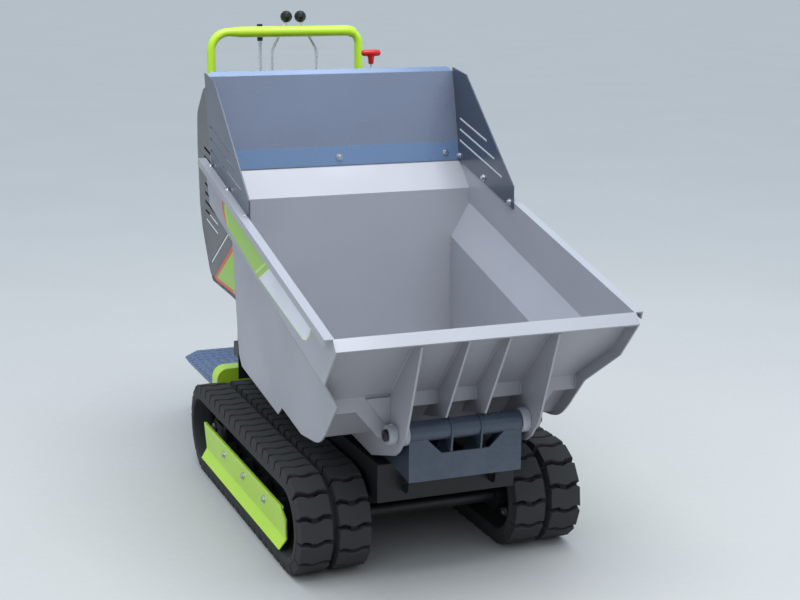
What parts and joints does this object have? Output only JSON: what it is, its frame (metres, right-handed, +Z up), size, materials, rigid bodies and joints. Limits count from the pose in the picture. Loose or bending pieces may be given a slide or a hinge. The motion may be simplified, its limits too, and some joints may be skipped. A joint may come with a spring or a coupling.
{
  "type": "tracked site dumper",
  "caption": "Walk-behind mini dumper on rubber crawler tracks with a folded steel skip that tips forward on a low front pin, rear splash guard, control console and fold-up footboard",
  "frame": {"origin": "on the ground under the middle of the machine's overall length and width", "axes": "+Z up, +Y from the skip's lip towards the operator, +X across the machine; the skip tips towards -Y"},
  "size_m": [0.824, 1.925, 1.388],
  "materials": {
    "skip_grey": "metallic grey powder coat, slightly worn",
    "anthracite": "anthracite blue-grey powder coat",
    "panel_grey": "mid grey powder coat",
    "black_paint": "black powder coat, satin",
    "track_rubber": "moulded rubber, dusty on the run",
    "lime_green": "lime green powder coat",
    "engine_metal": "dark cast block",
    "bright_steel": "turned steel",
    "chrome": "chromed rod",
    "black_plastic": "gloss black",
    "red_plastic": "gloss red",
    "tread_plate": "blue-grey coated tread plate with raised bars"
  },
  "bodies": {
    "chassis": {"axle_tube": "black_paint", "belly_plate": "black_paint", "chassis_ends": "black_paint", "chassis_rails": "black_paint", "choke_knob": "red_plastic", "console_cowl": "black_paint", "console_panel_left": "panel_grey", "console_panel_right": "panel_grey", "cross_beams": "black_paint", "cylinder_mount": "black_paint", "deck_plate": "black_paint", "drive_motors": "black_paint", "engine_block": "engine_metal", "handle_bar": "lime_green", "handle_clamps": "black_paint", "handle_grip": "lime_green", "hydraulic_tank": "black_paint", "idlers": "black_paint", "lever_knobs": "black_plastic", "lever_rods": "chrome", "pivot_bracket": "anthracite", "pivot_pin": "bright_steel", "platform_hinge": "black_paint", "rear_bumper": "lime_green", "rest_pads": "black_paint", "sprockets": "black_paint", "track_frame_left": "black_paint", "track_frame_right": "black_paint", "track_guard_left": "lime_green", "track_guard_right": "lime_green", "track_left": "track_rubber", "track_right": "track_rubber", "track_rollers": "black_paint"},
    "skip": {"side_sheet_left": "skip_grey", "side_sheet_right": "skip_grey", "front_sheet": "skip_grey", "floor_sheet": "skip_grey", "rear_sheet": "skip_grey", "ledge": "skip_grey", "pivot_rib_left": "skip_grey", "pivot_rib_right": "skip_grey", "lip_ribs": "skip_grey", "splash_guard": "anthracite", "guard_wing_left": "anthracite", "guard_wing_right": "anthracite", "cylinder_lugs": "skip_grey", "ear_gussets": "skip_grey"},
    "barrel": {"cylinder_barrel": "black_paint"},
    "rod": {"cylinder_rod": "chrome"},
    "footboard": {"platform": "tread_plate"}
  },
  "joints": [
    {"name": "skip_tip", "type": "hinge", "parent": "chassis", "child": "skip", "pos_m": [0, -0.7915, 0.42], "axis": [1, 0, 0], "range_deg": [0, 80]},
    {"name": "barrel_swing", "type": "hinge", "parent": "chassis", "child": "barrel", "pos_m": [0, -0.6475, 0.252], "axis": [1, 0, 0], "range_deg": [0, 76.01]},
    {"name": "rod_slide", "type": "slide", "parent": "barrel", "child": "rod", "axis": [0, 0.9748, 0.2229], "range_m": [0, 0.2813]},
    {"name": "footboard_fold", "type": "hinge", "parent": "chassis", "child": "footboard", "pos_m": [0, 0.5275, 0.19], "axis": [1, 0, 0], "range_deg": [0, 85]}
  ],
  "couplings": [
    {"joint": "barrel_swing", "follows": "skip_tip", "ratio": 0.94388},
    {"joint": "rod_slide", "follows": "skip_tip", "m_per_rad": 0.20077}
  ]
}
